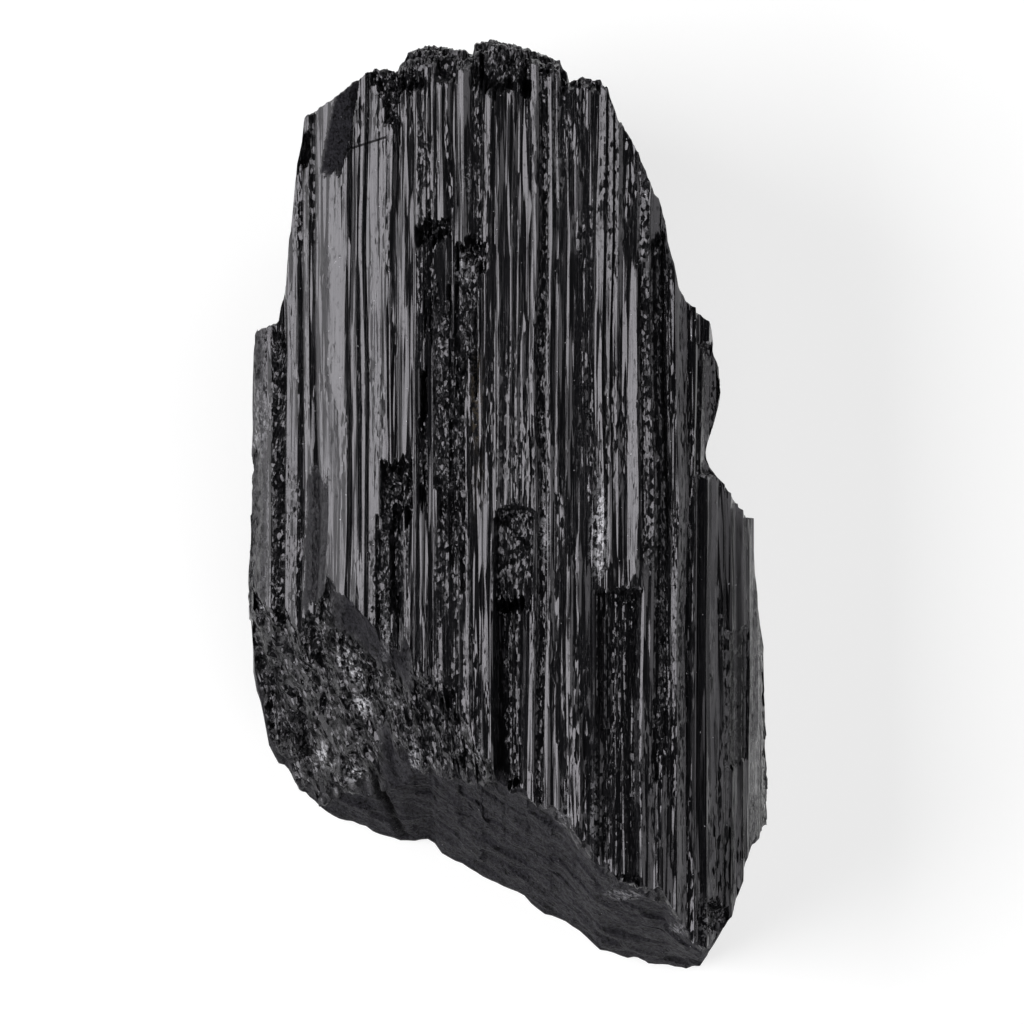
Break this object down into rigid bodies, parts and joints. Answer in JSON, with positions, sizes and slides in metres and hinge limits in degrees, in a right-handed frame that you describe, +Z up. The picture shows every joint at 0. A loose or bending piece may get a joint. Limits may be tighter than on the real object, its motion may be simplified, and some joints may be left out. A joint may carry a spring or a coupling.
{
  "type": "tourmaline crystal",
  "caption": "Ribbed black tourmaline crystal lying on one prism face, broken off in steps at the top and with a slanted dull break at the foot.",
  "frame": {"origin": "centre of the bounding box on the ground, under the crystal", "axes": "+Z up, out of the best ribbed face; +Y along the ribs towards the stepped top; +X to the right seen from above"},
  "size_m": [0.0502, 0.0902, 0.0323],
  "materials": {
    "black_tourmaline": "glassy black on the ribbed faces, dull where broken"
  },
  "bodies": {
    "root": {"tourmaline_crystal": "black_tourmaline"}
  },
  "joints": []
}
